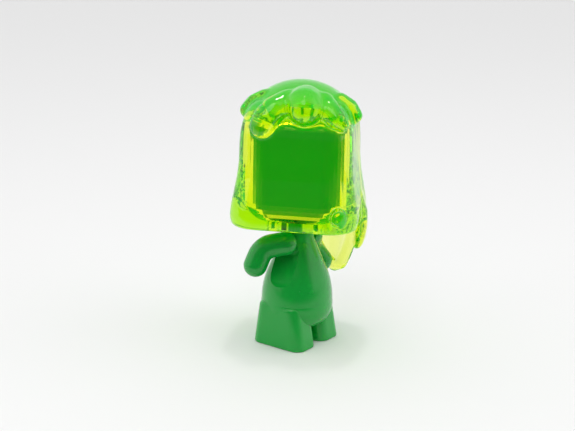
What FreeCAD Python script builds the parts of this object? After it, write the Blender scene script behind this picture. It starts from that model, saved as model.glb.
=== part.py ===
"""Small vinyl art toy: a chubby standing figure whose blank head sits inside a clear moulded hair shell.

Millimetres. +Z is up, the origin is on the ground under the neck axis, the chest faces -Y and the
figure's own left side is +X. The head is built facing -Y and then turned about the neck axis by
HEAD_TURN; the arms are built hanging and then swung about the shoulder axis.

Every piece is its own solid: two glued torso halves that trap the neck post and the shoulder pins,
two plugged-on legs, two arms, two head halves clamped on the neck post, and three clear hair parts.
"""

import FreeCAD
import Part
import math
import os

from FreeCAD import Matrix, Vector

X_AXIS, Y_AXIS, Z_AXIS = Vector(1, 0, 0), Vector(0, 1, 0), Vector(0, 0, 1)
HUGE = 200.0

# Legs: two flared stumps that the belly sits down between.
FOOT_LENGTH = 17.2
FOOT_WIDTH = 9.1
FOOT_GAP = 2.2
FOOT_CORNER = 3.1
LEG_TOP_Z = 12.4
LEG_TOP_FRONT = 2.4  # how far the leg's front face leans back from toe to top
LEG_TOP_BACK = 1.5
LEG_TOP_SIDE = 0.3
LEG_SHOULDER_ROUND = 1.5
SOLE_ROUND = 0.5
HIP_PEG_RADIUS = 1.9
HIP_PEG_HEIGHT = 4.0  # how far the peg reaches above the torso's lowest point
HIP_BOSS_WALL = 1.2

# Torso: a round pear, widest at the belly.
BELLY_RADIUS = 10.0
BELLY_Z = 12.3
TORSO_BOTTOM_Z = 4.6
TORSO_HEIGHT = 29.4
TORSO_WALL = 1.8
POCKET_WALL = 1.0  # least wall between a shoulder pocket and the torso's hollow
CHEST_SHARE = 0.46  # chest size at the shoulder axis, as a share of the belly's
NECK_SHARE = 0.41
SEAM_PIN_RADIUS = 0.6
SEAM_PIN_REACH = 1.8
SEAM_PIN_DROP = 3.1  # seam pins below the shoulder axis
HOLLOW_DROP = 4.6  # top of the torso's hollow, below the shoulder axis

# Arms: bent mitts that lie on a cone round the shoulder axis.
SHOULDER_DROP = 4.5  # shoulder axis below the torso's top
ARM_RADIUS = 3.3
ARM_REACH = 8.9  # shoulder axis to the middle of the mitt's end
ELBOW_REACH = 5.5  # shoulder axis to the corner of the bend
ELBOW_LAG = 30.0  # degrees that the bend stands behind the end, round the shoulder axis
ELBOW_ROUND = 5.0
ARM_SPLAY = 30.0  # degrees that a hanging arm leans out from the vertical
ARM_ROOT_OUT = 2.0  # root centre, outside the flat seat on the chest
SEAT_DEPTH = 0.4  # flat shoulder seat, sunk into the chest
ARM_SIDE_GAP = 0.25  # arm to chest at the flat seat
ARM_SWEEP_GAP = 0.3  # arm to the pocket that it swings past
RIGHT_ARM_SWING = 45.0  # degrees back from hanging, as the toy stands
LEFT_ARM_SWING = 0.0
PIN_RADIUS = 1.1
PIN_HEAD_RADIUS = 1.6
PIN_HEAD_LENGTH = 1.1
PIN_IN_ARM = 3.0
PIN_MIDDLE_GAP = 0.9  # pin end to the mid-plane of the torso

# Neck post: a shaft with one flange held in the torso and one held in the head.
POST_RADIUS = 1.8
POST_FLANGE_RADIUS = 2.6
POST_FLANGE_LENGTH = 1.0
POST_FLANGE_WEB = 0.8  # between the lower flange's pocket and the shoulder pins'
COLLAR_RADIUS = 3.0
NECK_GAP = 0.1
POST_IN_HEAD = 5.0
RUNNING_GAP = 0.05  # radial and axial clearance of everything that turns

# Head core: an opaque rounded block with nothing on its face.
HEAD_TURN = -64.0  # degrees that the head faces away from the chest, as the toy stands
HEAD_WIDTH = 25.4
HEAD_DEPTH = 23.0
HEAD_LIFT = 2.8  # the head's underside above the torso's top
HEAD_HEIGHT = 27.8
HEAD_CORNER = 5.5
HEAD_TOP_ROUND = 2.6
HEAD_BOTTOM_ROUND = 5.0
HEAD_WALL = 1.6
HEAD_BOSS_WALL = 1.5
HEAD_PIN_RADIUS = 0.9
HEAD_PIN_BOSS = 2.0
HEAD_PIN_REACH = 2.5
HEAD_PIN_INSET = 4.6  # boss centre from the head's side and top

# Hair: a clear shell close round the head, flared at its hem, with a domed crown on top.
HAIR_WALL = 2.8
HAIR_FLARE = 2.3  # how much further out the hem stands than the wall, on each side
HAIR_CORNER = 6.6
HEM_DROP = 1.6  # the hem below the head's underside
HEM_BAND = 2.6  # height of the widest band above the hem
FLARE_SHARE = 0.54  # how much of the wall's height the flare takes
HAIR_GAP = 0.12
NECK_OPENING_RADIUS = 8.0
CROWN_SEAT = 1.8  # clear plastic over the head, up to the flat seam under the crown
CROWN_HEIGHT = 9.2
CROWN_BALL_RADIUS = 17.8
LOCK_THICKNESS = 3.4
LOCK_ROUND = 1.3
LOCK_TIP_SHARE = 0.36  # tip corner radius as a share of the tip's width
CURL_RADIUS = 2.6
CURL_WIRE = 0.8

TORSO_TOP_Z = TORSO_BOTTOM_Z + TORSO_HEIGHT
SHOULDER_Z = TORSO_TOP_Z - SHOULDER_DROP
HEAD_BOTTOM_Z = TORSO_TOP_Z + HEAD_LIFT
HEAD_TOP_Z = HEAD_BOTTOM_Z + HEAD_HEIGHT
HAIR_HEM_Z = HEAD_BOTTOM_Z - HEM_DROP
CROWN_LIP_Z = HEAD_TOP_Z + CROWN_SEAT
CROWN_TOP_Z = CROWN_LIP_Z + CROWN_HEIGHT


def rounded_rectangle(z, left, right, front, back, corner):
    """A closed wire at height z, with its four corners as arcs."""
    slant = corner * math.sqrt(0.5)
    edges = []
    last = None
    first = None
    for x, y, sx, sy in ((left, front, 1, 1), (right, front, -1, 1), (right, back, -1, -1), (left, back, 1, -1)):
        centre = Vector(x + sx * corner, y + sy * corner, z)
        beside = Vector(x, centre.y, z)
        ahead = Vector(centre.x, y, z)
        start, stop = (beside, ahead) if sx == sy else (ahead, beside)
        if last:
            edges.append(Part.makeLine(last, start))
        first = first or start
        edges.append(Part.Arc(start, centre + Vector(-sx * slant, -sy * slant, 0), stop).toShape())
        last = stop
    edges.append(Part.makeLine(last, first))
    return Part.Wire(edges)


def block_of(low, high):
    """A box from one corner to the other."""
    size = high - low
    return Part.makeBox(size.x, size.y, size.z, low)


def rod(radius, start, end):
    """A cylinder from one point to another."""
    along = end - start
    return Part.makeCylinder(radius, along.Length, start, along)


def capsule(radius, start, end):
    """A cylinder with a ball at each end."""
    ends = [Part.makeSphere(radius, p) for p in (start, end)]
    return rod(radius, start, end).multiFuse(ends).removeSplitter()


def turned(shape, angle, axis, centre=Vector(0, 0, 0)):
    copy = shape.copy()
    copy.rotate(centre, axis, angle)
    return copy


def mirrored(shape):
    """The other side's copy of a piece built for the figure's left."""
    return shape.mirror(Vector(0, 0, 0), X_AXIS)


def rim_at(shape, z):
    """The edges of a shape that lie at height z."""
    return [e for e in shape.Edges if all(abs(v.Z - z) < 1e-6 for v in e.Vertexes)]


def halves(shape):
    """The front and back parts of a shape, split on the plane Y = 0."""
    front = shape.common(block_of(Vector(-HUGE, -HUGE, -HUGE), Vector(HUGE, 0, HUGE)))
    back = shape.common(block_of(Vector(-HUGE, 0, -HUGE), Vector(HUGE, HUGE, HUGE)))
    return front, back


# ---------------------------------------------------------------- torso

def pear(radius, bottom_z, top_z):
    """A pear-shaped solid of revolution with a flat underside, a belly of arcs and a conical chest."""
    lower = BELLY_Z - bottom_z
    upper = SHOULDER_Z - BELLY_Z
    floor_edge = Vector(0.52 * radius, 0, bottom_z)
    haunch = Vector(0.88 * radius, 0, bottom_z + 0.33 * lower)
    belly = Vector(radius, 0, BELLY_Z)
    ribs = Vector(0.955 * radius, 0, BELLY_Z + 0.26 * upper)
    breast = Vector(0.83 * radius, 0, BELLY_Z + 0.50 * upper)
    neck = Vector(NECK_SHARE * radius, 0, top_z)
    chest = Vector(CHEST_SHARE * radius, 0, SHOULDER_Z)
    throat = (chest + neck) * 0.5 - Vector(0.02 * radius, 0, 0)
    edges = [
        Part.Arc(floor_edge, haunch, belly).toShape(),
        Part.Arc(belly, ribs, breast).toShape(),
        Part.makeLine(breast, chest),
        Part.Arc(chest, throat, neck).toShape(),
        Part.makeLine(neck, Vector(0, 0, top_z)),
        Part.makeLine(Vector(0, 0, top_z), Vector(0, 0, bottom_z)),
        Part.makeLine(Vector(0, 0, bottom_z), floor_edge),
    ]
    return Part.Face(Part.Wire(edges)).revolve(Vector(0, 0, 0), Z_AXIS, 360)


SEAT_X = CHEST_SHARE * BELLY_RADIUS - SEAT_DEPTH
ARM_ROOT_X = SEAT_X + ARM_ROOT_OUT
HIP_X = (FOOT_GAP + FOOT_WIDTH) / 2
HIP_PEG_TOP_Z = TORSO_BOTTOM_Z + HIP_PEG_HEIGHT
FLANGE_TOP_Z = SHOULDER_Z + PIN_HEAD_RADIUS + 2 * RUNNING_GAP + POST_FLANGE_WEB + POST_FLANGE_LENGTH
SHOULDER = Vector(ARM_ROOT_X, 0, SHOULDER_Z)


def pin_socket(side):
    """The space in the torso for one shoulder pin and its head."""
    inner = PIN_MIDDLE_GAP - RUNNING_GAP
    head_end = PIN_MIDDLE_GAP + PIN_HEAD_LENGTH + RUNNING_GAP
    at = [Vector(side * x, 0, SHOULDER_Z) for x in (inner, head_end, SEAT_X + SEAT_DEPTH + 1)]
    return rod(PIN_HEAD_RADIUS + RUNNING_GAP, at[0], at[1]).fuse(rod(PIN_RADIUS + RUNNING_GAP, at[1], at[2]))


def post_socket():
    """The space in the torso for the neck post's shaft and lower flange."""
    flange_low = Vector(0, 0, FLANGE_TOP_Z - POST_FLANGE_LENGTH - RUNNING_GAP)
    flange_high = Vector(0, 0, FLANGE_TOP_Z + RUNNING_GAP)
    shaft = rod(POST_RADIUS + RUNNING_GAP, flange_high, Vector(0, 0, TORSO_TOP_Z + 1))
    return rod(POST_FLANGE_RADIUS + RUNNING_GAP, flange_low, flange_high).fuse(shaft)


def torso_halves():
    outer = pear(BELLY_RADIUS, TORSO_BOTTOM_Z, TORSO_TOP_Z)
    hollow = pear(BELLY_RADIUS - TORSO_WALL, TORSO_BOTTOM_Z + TORSO_WALL, TORSO_TOP_Z)
    roof_z = SHOULDER_Z - HOLLOW_DROP
    hollow = hollow.common(block_of(Vector(-HUGE, -HUGE, -HUGE), Vector(HUGE, HUGE, roof_z)))
    for side in (-1, 1):
        boss_top = Vector(side * HIP_X, 0, HIP_PEG_TOP_Z + HIP_BOSS_WALL)
        hollow = hollow.cut(rod(HIP_PEG_RADIUS + HIP_BOSS_WALL, Vector(side * HIP_X, 0, 0), boss_top))
        hollow = hollow.cut(arm_sweep(side, ARM_SWEEP_GAP + POCKET_WALL))
    body = outer.cut(hollow).cut(post_socket())
    for side in (-1, 1):
        body = body.cut(arm_sweep(side, ARM_SWEEP_GAP)).cut(pin_socket(side))
        body = body.cut(rod(HIP_PEG_RADIUS, Vector(side * HIP_X, 0, 0), Vector(side * HIP_X, 0, HIP_PEG_TOP_Z)))
    front, back = halves(body)
    pin_z = SHOULDER_Z - SEAM_PIN_DROP
    for side in (-1, 1):
        pin_x = side * CHEST_SHARE * BELLY_RADIUS / 2
        pin = rod(SEAM_PIN_RADIUS, Vector(pin_x, -SEAM_PIN_REACH, pin_z), Vector(pin_x, SEAM_PIN_REACH, pin_z))
        front, back = front.cut(pin), back.fuse(pin)
    return outer, front, back.removeSplitter()


# ---------------------------------------------------------------- legs

def leg(torso_outer):
    """The figure's left leg: a flared stump, hollowed to take the belly, with a peg that plugs into it."""
    inner, outer = FOOT_GAP / 2, FOOT_GAP / 2 + FOOT_WIDTH
    front, back = -FOOT_LENGTH / 2, FOOT_LENGTH / 2
    sole = rounded_rectangle(0, inner, outer, front, back, FOOT_CORNER)
    top = rounded_rectangle(
        LEG_TOP_Z, inner, outer - LEG_TOP_SIDE, front + LEG_TOP_FRONT, back - LEG_TOP_BACK, FOOT_CORNER
    )
    stump = Part.makeLoft([sole, top], True, True)
    stump = stump.makeFillet(LEG_SHOULDER_ROUND, rim_at(stump, LEG_TOP_Z))
    stump = stump.makeFillet(SOLE_ROUND, rim_at(stump, 0))
    peg = rod(HIP_PEG_RADIUS, Vector(HIP_X, 0, SOLE_ROUND), Vector(HIP_X, 0, HIP_PEG_TOP_Z))
    return stump.cut(torso_outer).fuse(peg).removeSplitter()


# ---------------------------------------------------------------- arms

def on_cone(reach, lag):
    """A point of the left arm's centre line, from its reach and its angle round the shoulder axis."""
    a = math.radians(lag)
    out = reach * math.tan(math.radians(ARM_SPLAY))
    return SHOULDER + Vector(out, reach * math.sin(a), -reach * math.cos(a))


def beyond(x):
    return block_of(Vector(x, -HUGE, -HUGE), Vector(HUGE, HUGE, HUGE))


def arm_sweep(side, gap):
    """All the space within a gap of a swinging arm's path, outside the flat seat on the chest."""
    radius = ARM_RADIUS + gap
    root, tip = SHOULDER, on_cone(ARM_REACH, 0)
    along = (tip - root).normalize()
    across = Vector(-along.z, 0, along.x) * radius
    corners = [root - across, tip - across, tip + across, root + across]
    edges = [
        Part.makeLine(corners[0], corners[1]),
        Part.Arc(corners[1], tip + along * radius, corners[2]).toShape(),
        Part.makeLine(corners[2], corners[3]),
        Part.Arc(corners[3], root - along * radius, corners[0]).toShape(),
    ]
    below = block_of(Vector(-HUGE, -HUGE, -HUGE), Vector(HUGE, HUGE, SHOULDER_Z))
    section = Part.Face(Part.Wire(edges)).common(below).common(beyond(SEAT_X))
    rings = [face.revolve(SHOULDER, X_AXIS, 360) for face in section.Faces]
    swept = rings[0].multiFuse(rings[1:]) if len(rings) > 1 else rings[0]
    return swept if side > 0 else mirrored(swept)


def arm_and_pin():
    """The figure's left arm, with its end hanging straight down, and the pin pressed into its root."""
    elbow, tip = on_cone(ELBOW_REACH, ELBOW_LAG), on_cone(ARM_REACH, 0)
    upper, lower = (elbow - SHOULDER).normalize(), (tip - elbow).normalize()
    half_turn = upper.getAngle(lower) / 2
    start = elbow - upper * (ELBOW_ROUND * math.tan(half_turn))
    stop = elbow + lower * (ELBOW_ROUND * math.tan(half_turn))
    middle = elbow + (lower - upper).normalize() * (ELBOW_ROUND / math.cos(half_turn) - ELBOW_ROUND)
    bend = Part.Arc(start, middle, stop).toShape()
    spine = Part.Wire([Part.makeLine(SHOULDER, start), bend, Part.makeLine(stop, tip)])
    disc = Part.Face(Part.Wire(Part.makeCircle(ARM_RADIUS, SHOULDER, upper)))
    limb = spine.makePipe(disc).multiFuse([Part.makeSphere(ARM_RADIUS, end) for end in (SHOULDER, tip)])
    limb = limb.removeSplitter().common(beyond(SEAT_X + ARM_SIDE_GAP))
    at = [Vector(x, 0, SHOULDER_Z) for x in (PIN_MIDDLE_GAP, PIN_MIDDLE_GAP + PIN_HEAD_LENGTH, SEAT_X + PIN_IN_ARM)]
    pin = rod(PIN_HEAD_RADIUS, at[0], at[1]).fuse(rod(PIN_RADIUS, at[1], at[2]))
    return limb.cut(rod(PIN_RADIUS, at[1], at[2])), pin


# ---------------------------------------------------------------- head

COLLAR_LOW_Z = TORSO_TOP_Z + NECK_GAP
POST_TOP_Z = HEAD_BOTTOM_Z + POST_IN_HEAD


def neck_post():
    """One turned pin: lower flange, shaft, collar under the head, shaft and upper flange."""
    steps = [
        (POST_FLANGE_RADIUS, FLANGE_TOP_Z - POST_FLANGE_LENGTH, FLANGE_TOP_Z),
        (POST_RADIUS, FLANGE_TOP_Z, POST_TOP_Z - POST_FLANGE_LENGTH),
        (COLLAR_RADIUS, COLLAR_LOW_Z, HEAD_BOTTOM_Z),
        (POST_FLANGE_RADIUS, POST_TOP_Z - POST_FLANGE_LENGTH, POST_TOP_Z),
    ]
    rods = [rod(radius, Vector(0, 0, low), Vector(0, 0, high)) for radius, low, high in steps]
    return rods[0].multiFuse(rods[1:]).removeSplitter()


def rounded_block(width, depth, low_z, high_z, corner, top_round, bottom_round):
    block = Part.makeBox(width, depth, high_z - low_z, Vector(-width / 2, -depth / 2, low_z))
    upright = [e for e in block.Edges if abs(e.Vertexes[0].Z - e.Vertexes[1].Z) > 1e-6]
    block = block.makeFillet(corner, upright)
    block = block.makeFillet(top_round, rim_at(block, high_z))
    return block.makeFillet(bottom_round, rim_at(block, low_z))


def head_block(grow):
    return rounded_block(
        HEAD_WIDTH + 2 * grow, HEAD_DEPTH + 2 * grow, HEAD_BOTTOM_Z - grow, HEAD_TOP_Z + grow,
        HEAD_CORNER + grow, HEAD_TOP_ROUND + grow, HEAD_BOTTOM_ROUND + grow,
    )


def head_halves():
    """The blank head as two thin shells, with a split boss that clamps the neck post."""
    hollow = head_block(-HEAD_WALL)
    boss = rod(
        POST_FLANGE_RADIUS + HEAD_BOSS_WALL, Vector(0, 0, HEAD_BOTTOM_Z), Vector(0, 0, POST_TOP_Z + HEAD_BOSS_WALL)
    )
    hollow = hollow.cut(boss)
    pins = [
        (side * (HEAD_WIDTH / 2 - HEAD_PIN_INSET), z)
        for side in (-1, 1)
        for z in (HEAD_TOP_Z - HEAD_PIN_INSET, HEAD_BOTTOM_Z + HEAD_BOTTOM_ROUND + HEAD_PIN_INSET)
    ]
    for x, z in pins:
        hollow = hollow.cut(rod(HEAD_PIN_BOSS, Vector(x, -HEAD_DEPTH, z), Vector(x, HEAD_DEPTH, z)))
    shell = head_block(0).cut(hollow).cut(neck_post())
    front, back = halves(shell)
    for x, z in pins:
        pin = rod(HEAD_PIN_RADIUS, Vector(x, -HEAD_PIN_REACH, z), Vector(x, HEAD_PIN_REACH, z))
        front, back = front.cut(pin), back.fuse(pin)
    return front, back.removeSplitter()


# ---------------------------------------------------------------- hair

WALL_WIDTH = HEAD_WIDTH / 2 + HAIR_WALL
WALL_DEPTH = HEAD_DEPTH / 2 + HAIR_WALL


def hair_body():
    """The outside of the hair: a rounded block that flares at the hem and closes over the head."""
    band_z = HAIR_HEM_Z + HEM_BAND
    waist_z = band_z + FLARE_SHARE * (HEAD_TOP_Z - band_z)
    levels = [
        (HAIR_HEM_Z, 0.85 * HAIR_FLARE),
        (band_z, HAIR_FLARE),
        ((band_z + waist_z) / 2, 0.5 * HAIR_FLARE),
        (waist_z, 0.0),
        ((waist_z + HEAD_TOP_Z) / 2, -0.1 * HAIR_WALL),
        (HEAD_TOP_Z, -0.3 * HAIR_WALL),
        (CROWN_LIP_Z, -0.55 * HAIR_WALL),
    ]
    wires = []
    for z, out in levels:
        x, y = WALL_WIDTH + out, WALL_DEPTH + out
        wires.append(rounded_rectangle(z, -x, x, -y, y, HAIR_CORNER))
    return Part.makeLoft(wires, True, False)


def lock_plate(top_width, tip_width, lean, tip_z, low_y):
    """A flat lock that tapers from the hem to a blunt tip; lean moves its tip sideways."""
    outline = [
        (-top_width / 2, LOCK_TOP_Z),
        (lean - tip_width / 2, tip_z),
        (lean + tip_width / 2, tip_z),
        (top_width / 2, LOCK_TOP_Z),
    ]
    corners = [Vector(x, low_y, z) for x, z in outline]
    plate = Part.Face(Part.makePolygon(corners + corners[:1])).extrude(Vector(0, LOCK_THICKNESS, 0))
    tips = [e for e in plate.Edges if e.BoundBox.ZMax < tip_z + 1 and e.BoundBox.YLength > 1]
    plate = plate.makeFillet(LOCK_TIP_SHARE * tip_width, tips)
    rims = [e for e in plate.Edges if e.BoundBox.YLength < 1e-3]
    return plate.makeFillet(LOCK_ROUND, rims)


# Locks below the hem. The bearing is degrees from the face, positive towards the figure's left ear.
# The inset is how far inside the flared wall the outer face of the lock hangs.
LOCKS = {
    "long": {"bearing": 148.0, "inset": 1.2, "length": 17.6, "top_width": 13.0, "tip_width": 4.6, "lean": -2.6},
    "middle": {"bearing": 196.0, "inset": 0.4, "length": 12.2, "top_width": 9.5, "tip_width": 5.4, "lean": -0.4},
    "side": {"bearing": 103.0, "inset": 0.0, "length": 9.0, "top_width": 10.0, "tip_width": 6.2, "lean": 0.0},
    "nape": {"bearing": 232.0, "inset": 0.6, "length": 6.8, "top_width": 9.0, "tip_width": 5.4, "lean": 0.0},
    "flick": {"bearing": 268.0, "inset": 0.2, "length": 3.6, "top_width": 8.0, "tip_width": 5.4, "lean": 0.0},
}
LOCK_ROOT = 4.5  # how far a lock starts above the hem
LOCK_TOP_Z = HAIR_HEM_Z + LOCK_ROOT


def wall_distance(bearing):
    """How far the flared wall stands from the neck axis along a bearing, as a rounded rectangle."""
    a = math.radians(bearing)
    x, y = WALL_WIDTH + HAIR_FLARE, WALL_DEPTH + HAIR_FLARE
    plain = min(x / max(abs(math.sin(a)), 1e-6), y / max(abs(math.cos(a)), 1e-6))
    corner = (x - HAIR_CORNER) * abs(math.sin(a)) + (y - HAIR_CORNER) * abs(math.cos(a)) + HAIR_CORNER
    return min(plain, corner)


def lock(bearing, inset, length, top_width, tip_width, lean):
    """One lock hanging from the hem: built at the front of the head, then carried round to its bearing."""
    plate = lock_plate(top_width, tip_width, lean, HAIR_HEM_Z - length, inset - wall_distance(bearing))
    return turned(plate, bearing, Z_AXIS)


def curl():
    """A rolled curl on the front left corner, just above the hem."""
    bearing = 38.0
    centre_z = HAIR_HEM_Z + HEM_BAND + CURL_RADIUS
    out = wall_distance(bearing)
    ring = Part.makeTorus(CURL_RADIUS - CURL_WIRE, CURL_WIRE, Vector(0, -out, centre_z), Y_AXIS)
    bead = Part.makeSphere(CURL_RADIUS / 2, Vector(0, -out, centre_z))
    return turned(ring.fuse(bead), bearing, Z_AXIS)


# Drops of the crown: radius, then where its root and its tip are. Across and along are shares of the wall's
# half width and half depth, and the height is above the seam under the crown.
DROPS = [
    (3.2, (-0.35, -0.69, 4.0), (-0.54, -0.98, -1.8)),
    (3.9, (0.15, -0.62, 3.0), (0.18, -0.83, 1.8)),
    (2.8, (0.62, -0.69, 3.2), (0.72, -0.89, 0.2)),
    (2.3, (-0.68, -0.18, 3.2), (-0.98, -0.24, 1.2)),
    (2.3, (0.68, -0.14, 3.2), (0.98, -0.18, 0.4)),
    (2.8, (-0.39, 0.69, 3.6), (-0.45, 0.94, -0.4)),
    (2.8, (0.06, 0.69, 4.1), (0.10, 0.95, 0.6)),
    (2.8, (0.52, 0.69, 3.6), (0.58, 0.93, -0.8)),
]


def crown_drops():
    """Drops of the fringe, the side tufts and the back, each a capsule from the crown down over the wall."""
    drops = []
    for radius, *ends in DROPS:
        root, tip = [Vector(x * WALL_WIDTH, y * WALL_DEPTH, CROWN_LIP_Z + z) for x, y, z in ends]
        drops.append(capsule(radius, root, tip))
    return drops


def hair_parts():
    above = block_of(Vector(-HUGE, -HUGE, CROWN_LIP_Z), Vector(HUGE, HUGE, HUGE))
    below = block_of(Vector(-HUGE, -HUGE, -HUGE), Vector(HUGE, HUGE, CROWN_LIP_Z))
    drops = crown_drops()
    ball = Part.makeSphere(CROWN_BALL_RADIUS, Vector(0, 0, CROWN_TOP_Z - CROWN_BALL_RADIUS))
    crown = ball.multiFuse(drops).common(above)
    extras = [drop.common(below) for drop in drops if drop.BoundBox.ZMin < CROWN_LIP_Z - 0.1]
    extras += [lock(**facts) for facts in LOCKS.values()] + [curl()]
    cavity = head_block(HAIR_GAP)
    opening = rod(NECK_OPENING_RADIUS, Vector(0, 0, HAIR_HEM_Z - 1), Vector(0, 0, HEAD_BOTTOM_Z + HEAD_BOTTOM_ROUND))
    shell = hair_body().multiFuse(extras).cut(cavity).cut(opening)
    front, back = halves(shell)
    return front, back, crown


# ---------------------------------------------------------------- the whole toy

def main():
    torso_outer, torso_front, torso_back = torso_halves()
    left_leg = leg(torso_outer)
    left_arm, left_pin = arm_and_pin()
    head_front, head_back = head_halves()
    hair_front, hair_back, hair_crown = hair_parts()
    shoulder_line = Vector(0, 0, SHOULDER_Z)
    pieces = {
        "torso_front": torso_front,
        "torso_back": torso_back,
        "leg_left": left_leg,
        "leg_right": mirrored(left_leg),
        "arm_left": turned(left_arm, LEFT_ARM_SWING, X_AXIS, shoulder_line),
        "arm_right": turned(mirrored(left_arm), RIGHT_ARM_SWING, X_AXIS, shoulder_line),
        "shoulder_pin_left": left_pin,
        "shoulder_pin_right": mirrored(left_pin),
    }
    head = {
        "neck_post": neck_post(),
        "head_front": head_front,
        "head_back": head_back,
        "hair_front": hair_front,
        "hair_back": hair_back,
        "hair_crown": hair_crown,
    }
    pieces.update({name: turned(shape, HEAD_TURN, Z_AXIS) for name, shape in head.items()})
    os.makedirs("parts", exist_ok=True)
    for name, shape in pieces.items():
        solids = shape.Solids
        print(f"{name}: {len(solids)} solid(s), {shape.Volume:.1f} mm3, valid {shape.isValid()}")
        out = solids[0] if len(solids) == 1 else Part.makeCompound(solids)
        out.exportStep(f"parts/{name}.step")


main()
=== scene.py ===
"""A small vinyl art toy: satin green body, glossy blank green head, and a clear neon hair shell over it."""

import math

import bmesh
import bpy
from mathutils import Matrix, Quaternion, Vector


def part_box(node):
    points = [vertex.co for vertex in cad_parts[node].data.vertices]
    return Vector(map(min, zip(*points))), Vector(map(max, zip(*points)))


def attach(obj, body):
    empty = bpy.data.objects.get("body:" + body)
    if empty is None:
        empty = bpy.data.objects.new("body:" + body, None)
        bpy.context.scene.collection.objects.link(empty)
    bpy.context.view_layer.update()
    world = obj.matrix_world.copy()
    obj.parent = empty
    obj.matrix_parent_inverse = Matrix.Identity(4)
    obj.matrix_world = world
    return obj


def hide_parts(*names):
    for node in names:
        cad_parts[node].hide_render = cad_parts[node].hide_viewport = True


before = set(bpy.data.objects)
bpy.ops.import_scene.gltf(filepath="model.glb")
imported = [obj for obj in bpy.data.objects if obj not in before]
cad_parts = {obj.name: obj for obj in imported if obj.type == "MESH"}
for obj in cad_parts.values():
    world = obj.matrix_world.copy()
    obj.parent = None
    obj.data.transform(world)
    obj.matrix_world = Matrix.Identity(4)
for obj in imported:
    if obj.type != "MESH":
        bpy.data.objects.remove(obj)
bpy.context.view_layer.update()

MM = 0.001

# The head's own frame, in millimetres: the face looks along -Y, and HEAD_TURN turns it about the neck axis.
HEAD_TURN = math.radians(-64.0)
HEAD_PLACE = Matrix.Rotation(HEAD_TURN, 4, "Z") @ Matrix.Scale(MM, 4)
CORE_HALF = Vector((12.7, 11.5))
CORE_CORNER = 5.5
CORE_TOP_ROUND = 2.6
CORE_BOTTOM_ROUND = 5.0
WALL = 2.8
WALL_HALF = CORE_HALF + Vector((WALL, WALL))
WALL_CORNER = 6.6
FLARE = 2.3                # how far the wall spreads near its hem
FLARE_START_Z = 52.0       # the height below which it spreads
FLARE_FALL = 14.0          # the fall over which it spreads in full
AIR_GAP = 0.12
CROWN_CONTACT = 0.5        # the head's flat top is bonded this deep into the crown: its green shows through
BOND_FRONT = -5.0          # the bond stops short of the brow, where the crown stands off the head
DOME_RADIUS = 17.6
DOME_DEPTH_SHARE = 0.94    # the dome's depth from front to back, as a share of its width
DOME_BACK = 0.4            # its centre lies this far behind the neck axis
DOME_SINK = 18.9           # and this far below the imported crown's top
DOME_CUT = 0.2             # it is cut level this far above the crown's lip
NECK_HOLE_LOW_RADIUS = 8.6
NECK_HOLE_HIGH_RADIUS = 7.4
NECK_HOLE_DEPTH = 12.0
NECK_HOLE_DROP = 2.0       # its middle lies this far below the head's underside
VOXEL = 0.42               # the grain at which the parts of the shell are fused
MELT_ROUNDS = 18           # rounds of smoothing that melt its creases
MERGE = 1e-5               # points closer than this are one

# Heights, in millimetres. All but the wall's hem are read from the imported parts.
HEM_Z = 35.2
CORE_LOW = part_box("head_front")[0].z / MM
CORE_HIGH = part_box("head_front")[1].z / MM
LIP_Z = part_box("hair_crown")[0].z / MM
TOP_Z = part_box("hair_crown")[1].z / MM


# ---------------------------------------------------------------- mesh tools

def finish_mesh(name, bm, body, material, stands_for):
    """Turns a bmesh in the head's own frame into a finished piece in the toy's frame, in metres."""
    bmesh.ops.remove_doubles(bm, verts=bm.verts, dist=MERGE)
    bmesh.ops.recalc_face_normals(bm, faces=bm.faces)
    bmesh.ops.transform(bm, matrix=HEAD_PLACE, verts=bm.verts)
    mesh = bpy.data.meshes.new(name)
    bm.to_mesh(mesh)
    bm.free()
    piece = bpy.data.objects.new(name, mesh)
    bpy.context.scene.collection.objects.link(piece)
    for polygon in mesh.polygons:
        polygon.use_smooth = True
    mesh.materials.append(material)
    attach(piece, body)
    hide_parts(*stands_for)
    return piece


def section(centre, half_width, half_thickness, bearing):
    """The place of one level cross-section, turned about Z to a bearing."""
    turn = Matrix.Rotation(math.radians(bearing), 4, "Z")
    grow = Matrix.Diagonal((half_width, half_thickness, 1.0, 1.0))
    return Matrix.Translation(Vector(centre)) @ turn @ grow


def swept(places, sides=24):
    """A closed tube: a disc carried through a list of places, one extrusion for each."""
    bm = bmesh.new()
    ring = bmesh.ops.create_circle(bm, cap_ends=True, segments=sides, radius=1.0)["verts"]
    bmesh.ops.transform(bm, matrix=places[0], verts=ring)
    face = bm.faces[:][0]
    for before, after in zip(places, places[1:]):
        made = bmesh.ops.extrude_face_region(bm, geom=[face])["geom"]
        verts = [g for g in made if isinstance(g, bmesh.types.BMVert)]
        old = face
        face = next(g for g in made if isinstance(g, bmesh.types.BMFace))
        if before is not places[0]:
            bmesh.ops.delete(bm, geom=[old], context="FACES_ONLY")
        bmesh.ops.transform(bm, matrix=after @ before.inverted(), verts=verts)
    bmesh.ops.remove_doubles(bm, verts=bm.verts, dist=MERGE)
    bmesh.ops.recalc_face_normals(bm, faces=bm.faces)
    return bm


def joined(target, source):
    """Adds one bmesh's geometry to another."""
    mesh = bpy.data.meshes.new("part")
    source.to_mesh(mesh)
    source.free()
    target.from_mesh(mesh)
    bpy.data.meshes.remove(mesh)


def rounded_plate(half, corner):
    """A flat face with rounded corners, in a bmesh of its own."""
    bm = bmesh.new()
    bmesh.ops.create_grid(bm, x_segments=1, y_segments=1, size=1.0)
    bmesh.ops.scale(bm, vec=(half.x, half.y, 1.0), verts=bm.verts)
    bmesh.ops.bevel(
        bm, geom=bm.verts[:], offset=corner, offset_type="OFFSET", affect="VERTICES", segments=10,
        profile=0.5, material=-1,
    )
    return bm


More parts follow.
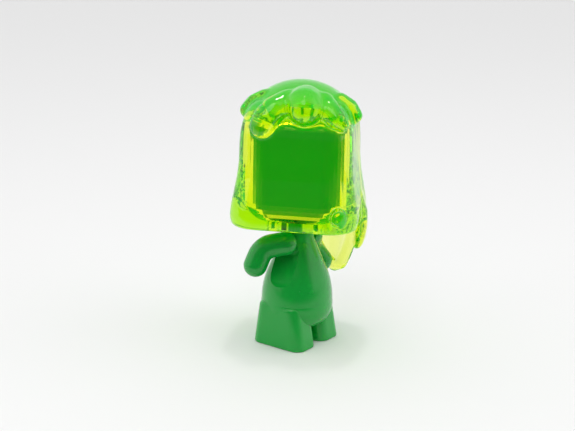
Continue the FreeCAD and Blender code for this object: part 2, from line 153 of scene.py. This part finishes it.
def lofted(half, corner, levels):
    """A rounded block through (z, growth) levels, its plan growing by the same amount on every side."""
    bm = rounded_plate(half, corner)
    face = bm.faces[:][0]
    z, grow = levels[0]
    bmesh.ops.scale(bm, vec=(1 + grow / half.x, 1 + grow / half.y, 1.0), verts=bm.verts)
    bmesh.ops.translate(bm, vec=(0, 0, z), verts=bm.verts)
    for (low, before), (high, after) in zip(levels, levels[1:]):
        made = bmesh.ops.extrude_face_region(bm, geom=[face])["geom"]
        verts = [g for g in made if isinstance(g, bmesh.types.BMVert)]
        old = face
        face = next(g for g in made if isinstance(g, bmesh.types.BMFace))
        if low != levels[0][0]:
            bmesh.ops.delete(bm, geom=[old], context="FACES_ONLY")
        ratio = [(half[i] + after) / (half[i] + before) for i in (0, 1)]
        bmesh.ops.translate(bm, vec=(0, 0, high - low), verts=verts)
        bmesh.ops.scale(bm, vec=(ratio[0], ratio[1], 1.0), verts=verts)
    bmesh.ops.remove_doubles(bm, verts=bm.verts, dist=MERGE)
    bmesh.ops.recalc_face_normals(bm, faces=bm.faces)
    return bm


def sliced(bm, point, normal):
    """Cuts away what lies past a plane and closes the cut."""
    keep = bm.verts[:] + bm.edges[:] + bm.faces[:]
    cut = bmesh.ops.bisect_plane(bm, geom=keep, plane_co=point, plane_no=normal, clear_outer=True)
    rim = [g for g in cut["geom_cut"] if isinstance(g, bmesh.types.BMEdge)]
    bmesh.ops.holes_fill(bm, edges=rim)
    bmesh.ops.recalc_face_normals(bm, faces=bm.faces)


def head_hollow(low, high):
    """A closed rounded block an air gap bigger than the head all round, between two heights."""
    half, corner = CORE_HALF + Vector((AIR_GAP, AIR_GAP)), CORE_CORNER + AIR_GAP
    top_round, bottom_round = CORE_TOP_ROUND + AIR_GAP, CORE_BOTTOM_ROUND + AIR_GAP
    steps = 6
    levels = []
    for i in range(steps + 1):
        a = math.radians(90.0 * i / steps)
        levels.append((low + bottom_round * (1 - math.cos(a)), -bottom_round * (1 - math.sin(a))))
    for i in range(steps + 1):
        a = math.radians(90.0 * i / steps)
        levels.append((high - top_round * (1 - math.sin(a)), -top_round * (1 - math.cos(a))))
    return lofted(half, corner, levels)


# ---------------------------------------------------------------- hair

def directions(bearing):
    """Outward and sideways at a bearing, in degrees from the face."""
    a = math.radians(bearing)
    return Vector((math.sin(a), -math.cos(a), 0)), Vector((math.cos(a), math.sin(a), 0))


def wall_point(bearing, z, out):
    """A point at a bearing and a height, a little way out from the wall's outside."""
    a = math.radians(bearing)
    flare = FLARE * min(1.0, max(0.0, (FLARE_START_Z - z) / FLARE_FALL))
    x, y = WALL_HALF.x + flare, WALL_HALF.y + flare
    sx, sy = abs(math.sin(a)), abs(math.cos(a))
    flat = min(x / max(sx, 1e-6), y / max(sy, 1e-6))
    corner = (x - WALL_CORNER) * sx + (y - WALL_CORNER) * sy + WALL_CORNER
    reach = min(flat, corner) + out
    return Vector((math.sin(a) * reach, -math.cos(a) * reach, z))


def drop(points, radii):
    """A drip with a round cross-section along points, closed by a ball at each end."""
    places = []
    count = len(points)
    for i, (point, radius) in enumerate(zip(points, radii)):
        ahead = Vector(points[min(i + 1, count - 1)]) - Vector(points[max(i - 1, 0)])
        turn = ahead.normalized().to_track_quat("Z", "Y").to_matrix().to_4x4()
        places.append(Matrix.Translation(Vector(point)) @ turn @ Matrix.Diagonal((radius, radius, 1.0, 1.0)))
    bm = swept(places)
    for end in (0, -1):
        ball = bmesh.new()
        bmesh.ops.create_uvsphere(ball, u_segments=24, v_segments=16, radius=radii[end])
        bmesh.ops.translate(ball, vec=points[end], verts=ball.verts)
        joined(bm, ball)
    return bm


def lock(bearing, rows):
    """A flat hanging lock: rows of (z, sideways shift, off the neck axis, half width, half thickness)."""
    outward, sideways = directions(bearing)
    places = []
    for z, shift, reach, half_width, half_thickness in rows:
        centre = outward * reach + sideways * shift + Vector((0, 0, z))
        places.append(section(centre, half_width, half_thickness, bearing))
    return swept(places, 28)


def rolled_edge(bearing, rows):
    """The thick rolled rim of a lock: rows of (z, sideways shift, off the neck axis, radius)."""
    outward, sideways = directions(bearing)
    points = [outward * reach + sideways * shift + Vector((0, 0, z)) for z, shift, reach, radius in rows]
    return drop(points, [radius for z, shift, reach, radius in rows])


def curl(bearing, z, radius, wire, turns):
    """A rolled curl lying on the wall, wound inwards like a snail."""
    outward, sideways = directions(bearing)
    centre = wall_point(bearing, z, 0.1)
    steps = 26
    start = math.radians(-60.0)
    tightening = 0.72      # the share of its radius that is gone at its heart
    lift = 0.5             # how far its heart stands out, in millimetres
    points, radii = [], []
    for i in range(steps + 1):
        t = i / steps
        angle = start + turns * 2 * math.pi * t
        reach = radius * (1 - tightening * t)
        level = Vector((0, 0, reach * math.sin(angle)))
        points.append(centre + sideways * (reach * math.cos(angle)) + level + outward * (lift * t))
        radii.append(wire * (1.15 - 0.25 * t))
    return drop(points, radii)


FRONT, REAR = -WALL_HALF.y, WALL_HALF.y

# The crown's drips, each as points down it and the radius at each point: three in front, one at each side,
# and three behind.
DRIPS = [
    ([(-1.8, FRONT + 4.4, 70.2), (-5.0, FRONT + 1.6, 68.4), (-7.2, FRONT + 0.2, 66.0),
      (-8.0, FRONT - 0.1, 64.0)], [3.2, 3.5, 3.6, 3.4]),
    ([(2.6, FRONT + 5.0, 69.8), (2.8, FRONT + 2.0, 69.4), (3.0, FRONT + 1.2, 69.0)], [4.8, 5.0, 4.7]),
    ([(7.2, FRONT + 5.2, 69.8), (9.8, FRONT + 2.6, 67.8), (11.8, FRONT + 1.6, 66.2),
      (12.8, FRONT + 2.0, 65.2)], [3.2, 3.0, 2.6, 2.0]),
    ([(-9.4, -2.6, 69.0), (-12.4, -3.2, 67.6), (-14.2, -3.4, 65.8)], [2.8, 2.7, 2.3]),
    ([(10.6, -1.4, 68.8), (13.4, -1.8, 67.4), (14.8, -2.0, 65.6)], [2.8, 2.6, 2.2]),
    ([(-4.0, REAR - 4.6, 68.0), (-6.4, REAR - 1.8, 65.6), (-7.4, REAR - 0.8, 62.4)], [2.9, 2.8, 2.4]),
    ([(1.6, REAR - 4.6, 68.4), (1.8, REAR - 1.8, 66.2), (1.6, REAR - 1.0, 64.2)], [3.2, 3.0, 2.6]),
    ([(6.8, REAR - 4.8, 68.0), (8.8, REAR - 2.0, 65.6), (9.6, REAR - 1.0, 63.0)], [2.8, 2.6, 2.2]),
]

# The long pointed lock and the rolled rim round it, in the rows that lock and rolled_edge take.
LONG_LOCK_BEARING = 148.0
LONG_LOCK = [
    (44.0, 0.8, 14.6, 5.8, 1.5), (40.0, 1.6, 15.6, 7.6, 1.6), (36.0, 2.2, 16.8, 8.6, 1.5),
    (32.0, 2.9, 17.2, 8.8, 1.4), (28.0, 2.9, 17.2, 8.0, 1.3), (25.0, 2.7, 17.2, 6.9, 1.3),
    (22.0, 2.0, 17.2, 5.4, 1.3), (19.0, 1.2, 17.2, 3.2, 1.3), (17.4, 0.4, 17.2, 1.8, 1.0),
]
LONG_LOCK_RIM = [
    (40.0, 8.6, 15.4, 1.5), (35.0, 10.6, 16.6, 1.9), (30.0, 10.6, 17.2, 2.1), (26.0, 9.6, 17.3, 2.1),
    (22.0, 7.0, 17.3, 2.1), (19.0, 3.8, 17.3, 2.0), (17.6, 0.8, 17.3, 1.9), (18.6, -1.2, 17.3, 1.9),
    (22.0, -2.9, 17.3, 1.9), (26.0, -4.4, 17.3, 1.8), (31.0, -5.6, 17.2, 1.7), (36.0, -5.8, 16.6, 1.6),
]
# The shorter locks, by bearing: beside the long one, at the back, and at the far side.
SHORT_LOCKS = {
    103.0: [
        (50.0, 0.0, 14.2, 3.0, 1.2), (44.0, 0.0, 15.4, 4.2, 1.8), (38.0, 0.0, 17.0, 4.8, 2.1),
        (34.0, 0.0, 17.2, 4.6, 2.0), (30.5, 0.2, 17.0, 3.8, 1.8), (28.0, 0.4, 16.6, 2.7, 1.5),
        (26.7, 0.5, 16.4, 1.4, 0.9),
    ],
    196.0: [
        (46.0, 0.0, 14.0, 3.4, 1.4), (38.0, -0.2, 15.6, 4.6, 1.9), (33.0, -0.4, 15.8, 4.2, 1.8),
        (28.0, -0.6, 15.8, 3.3, 1.6), (25.0, -0.7, 15.8, 2.3, 1.3), (23.6, -0.7, 15.8, 1.2, 0.8),
    ],
    232.0: [
        (46.0, 0.0, 16.0, 3.2, 1.3), (39.0, 0.0, 17.4, 4.2, 1.7), (34.6, 0.0, 17.6, 3.8, 1.5),
        (32.2, 0.2, 17.7, 2.8, 1.3), (30.6, 0.3, 17.7, 1.5, 0.8),
    ],
    268.0: [
        (46.0, 0.0, 14.6, 3.0, 1.3), (39.0, 0.0, 16.3, 3.8, 1.7), (35.0, 0.0, 16.2, 3.2, 1.5),
        (33.0, 0.2, 16.0, 2.3, 1.2), (32.0, 0.3, 15.9, 1.3, 0.8),
    ],
}


def flared_wall():
    """The wall round the head, from its spread hem up to the crown's shoulders."""
    return lofted(WALL_HALF, WALL_CORNER, [
        (HEM_Z + 0.3, 0.60 * FLARE), (HEM_Z + 1.0, 0.80 * FLARE), (HEM_Z + 3.0, 0.92 * FLARE),
        (41.0, 0.80 * FLARE), (45.0, 0.48 * FLARE), (49.0, 0.18 * FLARE), (53.0, 0.0), (58.0, -0.1),
        (61.5, -0.35), (64.0, -0.9), (LIP_Z, -1.6), (68.4, -2.9), (69.6, -4.6),
    ])


def crown_dome():
    """The crown's dome, cut level at its foot."""
    dome = bmesh.new()
    bmesh.ops.create_uvsphere(dome, u_segments=48, v_segments=32, radius=DOME_RADIUS)
    bmesh.ops.scale(dome, vec=(1.0, DOME_DEPTH_SHARE, 1.0), verts=dome.verts)
    bmesh.ops.translate(dome, vec=(0.0, DOME_BACK, TOP_Z - DOME_SINK), verts=dome.verts)
    sliced(dome, (0, 0, LIP_Z + DOME_CUT), (0, 0, -1))
    return dome


def shell_cutters():
    """What the head and neck take out of the shell, by name."""
    hollow = head_hollow(CORE_LOW - AIR_GAP, CORE_HIGH - CROWN_CONTACT)
    brow = head_hollow(CORE_LOW + CORE_BOTTOM_ROUND, CORE_HIGH + AIR_GAP)
    sliced(brow, (0, BOND_FRONT, 0), (0, 1, 0))
    neck = bmesh.new()
    bmesh.ops.create_cone(
        neck, cap_ends=True, segments=64, radius1=NECK_HOLE_LOW_RADIUS, radius2=NECK_HOLE_HIGH_RADIUS,
        depth=NECK_HOLE_DEPTH,
    )
    bmesh.ops.translate(neck, vec=(0, 0, CORE_LOW - NECK_HOLE_DROP), verts=neck.verts)
    return {"hollow": hollow, "brow_gap": brow, "neck_hole": neck}


def hair_shell(material):
    """The whole clear shell: wall, crown, drips, locks and curl, fused into one skin and hollowed."""
    skin = flared_wall()
    joined(skin, crown_dome())
    for points, radii in DRIPS:
        joined(skin, drop(points, radii))
    joined(skin, lock(LONG_LOCK_BEARING, LONG_LOCK))
    joined(skin, rolled_edge(LONG_LOCK_BEARING, LONG_LOCK_RIM))
    for bearing, rows in SHORT_LOCKS.items():
        joined(skin, lock(bearing, rows))
    joined(skin, curl(bearing=38.0, z=40.6, radius=2.3, wire=0.75, turns=1.25))
    shell = finish_mesh(
        "hair_shell", skin, "head", material, ("hair_front", "hair_back", "hair_crown")
    )
    fuse = shell.modifiers.new("fuse", "REMESH")
    fuse.mode = "VOXEL"
    fuse.voxel_size = VOXEL * MM
    fuse.use_smooth_shade = True
    melt = shell.modifiers.new("melt", "SMOOTH")
    melt.factor = 0.5
    melt.iterations = MELT_ROUNDS
    tools = []
    for name, cutter in shell_cutters().items():
        bmesh.ops.transform(cutter, matrix=HEAD_PLACE, verts=cutter.verts)
        mesh = bpy.data.meshes.new(name)
        cutter.to_mesh(mesh)
        cutter.free()
        tool = bpy.data.objects.new(name, mesh)
        bpy.context.scene.collection.objects.link(tool)
        cutting = shell.modifiers.new(name, "BOOLEAN")
        cutting.operation = "DIFFERENCE"
        cutting.solver = "EXACT"
        cutting.object = tool
        tools.append(tool)
    settled = bpy.data.meshes.new_from_object(shell.evaluated_get(bpy.context.evaluated_depsgraph_get()))
    shell.modifiers.clear()
    shell.data = settled
    for tool in tools:
        bpy.data.objects.remove(tool)


# ---------------------------------------------------------------- materials

def linear(code):
    """An sRGB hex colour as linear RGBA."""
    parts = [int(code[i:i + 2], 16) / 255 for i in (1, 3, 5)]
    return tuple(c / 12.92 if c <= 0.04045 else ((c + 0.055) / 1.055) ** 2.4 for c in parts) + (1.0,)


def add(tree, kind, settings=None, inputs=None, links=None):
    """Adds a node, sets its properties and sockets, and links other nodes' outputs into it."""
    node = tree.nodes.new(kind)
    for name, value in (settings or {}).items():
        setattr(node, name, value)
    for name, value in (inputs or {}).items():
        node.inputs[name].default_value = value
    for name, (source, output) in (links or {}).items():
        tree.links.new(source.outputs[output], node.inputs[name])
    return node


def new_material(name):
    """An empty node material and its tree."""
    material = bpy.data.materials.new(name)
    material.use_nodes = True
    material.node_tree.nodes.clear()
    return material, material.node_tree


def moulded_vinyl(name, deep, bright, roughness, level, coat, painted_glow):
    """Rotocast vinyl: an even opaque colour, faintly clouded, under a sheen with a fine orange peel."""
    cloud_size, peel_size = 9 * MM, 0.7 * MM
    material, tree = new_material(name)
    place = add(tree, "ShaderNodeTexCoord")
    clouds = add(tree, "ShaderNodeTexNoise", inputs={"Scale": 1 / cloud_size, "Detail": 3.0}, links={
        "Vector": (place, "Object")})
    tint = add(tree, "ShaderNodeMix", {"data_type": "RGBA"}, {6: linear(deep), 7: linear(bright)}, {
        0: (clouds, "Fac")})
    polish = add(tree, "ShaderNodeMapRange", inputs={
        "To Min": roughness * 0.88, "To Max": roughness * 1.14}, links={"Value": (clouds, "Fac")})
    peel = add(tree, "ShaderNodeTexNoise", inputs={"Scale": 1 / peel_size, "Detail": 2.0}, links={
        "Vector": (place, "Object")})
    skin = add(tree, "ShaderNodeBump", inputs={"Strength": 0.05, "Distance": 0.02 * MM}, links={
        "Height": (peel, "Fac")})
    # The emission is painted light: an even glow in the bright colour, standing in for lamp light that does
    # not reach the part.
    surface = add(tree, "ShaderNodeBsdfPrincipled", inputs={
        "IOR": 1.5, "Specular IOR Level": level, "Coat Weight": coat, "Coat Roughness": 0.12,
        "Emission Color": linear(bright), "Emission Strength": painted_glow,
    }, links={"Base Color": (tint, 2), "Roughness": (polish, "Result"), "Normal": (skin, "Normal")})
    add(tree, "ShaderNodeOutputMaterial", links={"Surface": (surface, "BSDF")})
    return material


def clear_neon(name):
    """Cast clear plastic, dyed all through: glassy, faintly rippled, and yellower the deeper it is."""
    flow_size = 5 * MM
    dye_per_metre = 440.0
    material, tree = new_material(name)
    place = add(tree, "ShaderNodeTexCoord")
    flow = add(tree, "ShaderNodeTexNoise", inputs={
        "Scale": 1 / flow_size, "Detail": 2.0, "Distortion": 0.6}, links={"Vector": (place, "Object")})
    polish = add(tree, "ShaderNodeMapRange", inputs={"To Min": 0.01, "To Max": 0.05}, links={
        "Value": (flow, "Fac")})
    ripple = add(tree, "ShaderNodeBump", inputs={"Strength": 0.12, "Distance": 0.12 * MM}, links={
        "Height": (flow, "Fac")})
    surface = add(tree, "ShaderNodeBsdfPrincipled", inputs={
        "Base Color": linear("#FFFFFF"), "IOR": 1.5, "Transmission Weight": 1.0,
    }, links={"Roughness": (polish, "Result"), "Normal": (ripple, "Normal")})
    dye = add(tree, "ShaderNodeVolumeAbsorption", inputs={
        "Color": linear("#F8FE00"), "Density": dye_per_metre})
    add(tree, "ShaderNodeOutputMaterial", links={"Surface": (surface, "BSDF"), "Volume": (dye, "Volume")})
    return material


def paint(node, material):
    """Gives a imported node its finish."""
    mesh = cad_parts[node].data
    mesh.materials.clear()
    mesh.materials.append(material)


# ---------------------------------------------------------------- stage, light and camera

VIEW_AZIMUTH = math.radians(-54.0)
VIEW_ELEVATION = math.radians(15.7)
VIEW_ROLL = math.radians(1.3)
VIEW_DISTANCE = 0.355
VIEW_AIM = Vector((-1.88, 2.59, 36.1)) * MM
BACK = Vector((
    math.sin(VIEW_AZIMUTH) * math.cos(VIEW_ELEVATION),
    -math.cos(VIEW_AZIMUTH) * math.cos(VIEW_ELEVATION),
    math.sin(VIEW_ELEVATION),
))
OPEN_SIDE = Vector((BACK.x, BACK.y, 0.0)).normalized()
OPEN_LIGHT = 0.14          # what the tent still gives on its open side
SEEN_THROUGH = 0.28        # how far the surroundings go back to white where they are seen through the hair
TABLE_HALF = 4.0
TOY_MIDDLE = Vector((0, 0, 0.04))


def floor():
    """A wide matt white board, white all over where the camera sees it straight on.

    For reflections and bounced light it darkens towards the open side, and through the hair partly so.
    """
    fade_start, fade_end = 40 * MM, 100 * MM
    bm = bmesh.new()
    bmesh.ops.create_grid(bm, x_segments=1, y_segments=1, size=TABLE_HALF)
    mesh = bpy.data.meshes.new("table_top")
    bm.to_mesh(mesh)
    bm.free()
    top = bpy.data.objects.new("table_top", mesh)
    bpy.context.scene.collection.objects.link(top)
    material, tree = new_material("matt_white_board")
    place = add(tree, "ShaderNodeTexCoord")
    ahead = add(tree, "ShaderNodeVectorMath", {"operation": "DOT_PRODUCT"}, {1: OPEN_SIDE}, {
        0: (place, "Object")})
    fade = add(tree, "ShaderNodeMapRange", {"interpolation_type": "SMOOTHSTEP"}, inputs={
        "From Min": fade_start, "From Max": fade_end, "To Min": 0.0, "To Max": 1.0}, links={
        "Value": (ahead, "Value")})
    rays = add(tree, "ShaderNodeLightPath")
    part_open = add(tree, "ShaderNodeMath", {"operation": "MULTIPLY"}, {1: SEEN_THROUGH}, {
        0: (rays, "Is Transmission Ray")})
    direct = add(tree, "ShaderNodeMath", {"operation": "MAXIMUM"}, links={
        0: (rays, "Is Camera Ray"), 1: (part_open, "Value")})
    unseen = add(tree, "ShaderNodeMath", {"operation": "SUBTRACT"}, {0: 1.0}, {1: (direct, "Value")})
    dim = add(tree, "ShaderNodeMath", {"operation": "MULTIPLY"}, links={
        0: (fade, "Result"), 1: (unseen, "Value")})
    colour = add(tree, "ShaderNodeMix", {"data_type": "RGBA"}, {6: linear("#F0F0F0"), 7: linear("#202020")}, {
        0: (dim, "Value")})
    surface = add(tree, "ShaderNodeBsdfPrincipled", inputs={"Roughness": 0.9}, links={
        "Base Color": (colour, 2)})
    add(tree, "ShaderNodeOutputMaterial", links={"Surface": (surface, "BSDF")})
    mesh.materials.append(material)


def tent():
    """A white light tent that is open on the viewer's side, and dark there for all but the camera."""
    edge_start, edge_end = 0.50, 0.66
    camera_white, hair_white = 0.86, 0.9
    world = bpy.data.worlds.new("light_tent")
    bpy.context.scene.world = world
    world.use_nodes = True
    tree = world.node_tree
    tree.nodes.clear()
    place = add(tree, "ShaderNodeTexCoord")
    facing = add(tree, "ShaderNodeVectorMath", {"operation": "DOT_PRODUCT"}, {1: OPEN_SIDE}, {
        0: (place, "Generated")})
    shade = add(tree, "ShaderNodeMapRange", {"interpolation_type": "SMOOTHSTEP"}, inputs={
        "From Min": edge_start, "From Max": edge_end, "To Min": 1.0, "To Max": OPEN_LIGHT}, links={
        "Value": (facing, "Value")})
    rays = add(tree, "ShaderNodeLightPath")
    strength = add(tree, "ShaderNodeMix", {"data_type": "FLOAT"}, {3: camera_white}, {
        0: (rays, "Is Camera Ray"), 2: (shade, "Result")})
    part_open = add(tree, "ShaderNodeMath", {"operation": "MULTIPLY"}, {1: SEEN_THROUGH}, {
        0: (rays, "Is Transmission Ray")})
    through = add(tree, "ShaderNodeMix", {"data_type": "FLOAT"}, {3: hair_white}, {
        0: (part_open, "Value"), 2: (strength, 0)})
    light = add(tree, "ShaderNodeBackground", inputs={"Color": (1.0, 1.0, 1.0, 1.0)}, links={
        "Strength": (through, 0)})
    add(tree, "ShaderNodeOutputWorld", links={"Surface": (light, "Background")})


def lamp(name, direction, distance, size, power):
    """A soft square lamp aimed at the middle of the toy."""
    data = bpy.data.lights.new(name, "AREA")
    data.shape = "SQUARE"
    data.size = size
    data.energy = power
    holder = bpy.data.objects.new(name, data)
    bpy.context.scene.collection.objects.link(holder)
    away = Vector(direction).normalized()
    holder.location = TOY_MIDDLE + away * distance
    holder.rotation_mode = "QUATERNION"
    holder.rotation_quaternion = away.to_track_quat("Z", "Y")


def camera():
    """A long lens close by, from a little above the head, looking slightly down."""
    data = bpy.data.cameras.new("camera")
    data.lens = 80.0
    data.sensor_width = 36.0
    data.clip_start, data.clip_end = 0.01, 20.0
    holder = bpy.data.objects.new("camera", data)
    bpy.context.scene.collection.objects.link(holder)
    holder.location = VIEW_AIM + BACK * VIEW_DISTANCE
    holder.rotation_mode = "QUATERNION"
    holder.rotation_quaternion = BACK.to_track_quat("Z", "Y") @ Quaternion((0, 0, 1), VIEW_ROLL)
    bpy.context.scene.camera = holder


# ---------------------------------------------------------------- the toy

# The body and limbs are rotocast vinyl as it leaves the mould: deep green, with a broad soft sheen.
satin_green = moulded_vinyl(
    "satin_green_vinyl", deep="#00A236", bright="#00AC3C", roughness=0.26, level=0.45, coat=0.25, painted_glow=0.0
)
# The head and the joint pins are a smoother, brighter vinyl, with a weak painted glow for the light the hair
# keeps off.
gloss_green = moulded_vinyl(
    "gloss_green_vinyl", deep="#00B422", bright="#00BE2C", roughness=0.16, level=0.40, coat=0.6, painted_glow=0.36
)
# The hair is clear plastic, cast thick with a neon dye: pale where it is thin, yellow-green where it is deep.
neon = clear_neon("clear_neon_plastic")

for node in ("torso_front", "torso_back", "leg_left", "leg_right", "arm_left", "arm_right"):
    paint(node, satin_green)
for node in ("shoulder_pin_left", "shoulder_pin_right", "neck_post", "head_front", "head_back"):
    paint(node, gloss_green)

hair_shell(neon)

floor()
tent()
lamp("key", (-0.9, -0.3, 1.1), distance=0.6, size=0.30, power=0.62)
lamp("fill", (0.6, -0.9, 0.9), distance=0.7, size=0.40, power=0.3)
lamp("spark", (0.05, 0.03, 1.0), distance=0.5, size=0.04, power=0.25)
camera()

bpy.context.scene.view_settings.view_transform = "Standard"
# The clear walls need long light paths, and no blur on what is seen through them.
light_paths = bpy.context.scene.cycles
light_paths.blur_glossy = 0.0
light_paths.max_bounces = 24
light_paths.glossy_bounces = 12
light_paths.transmission_bounces = 24
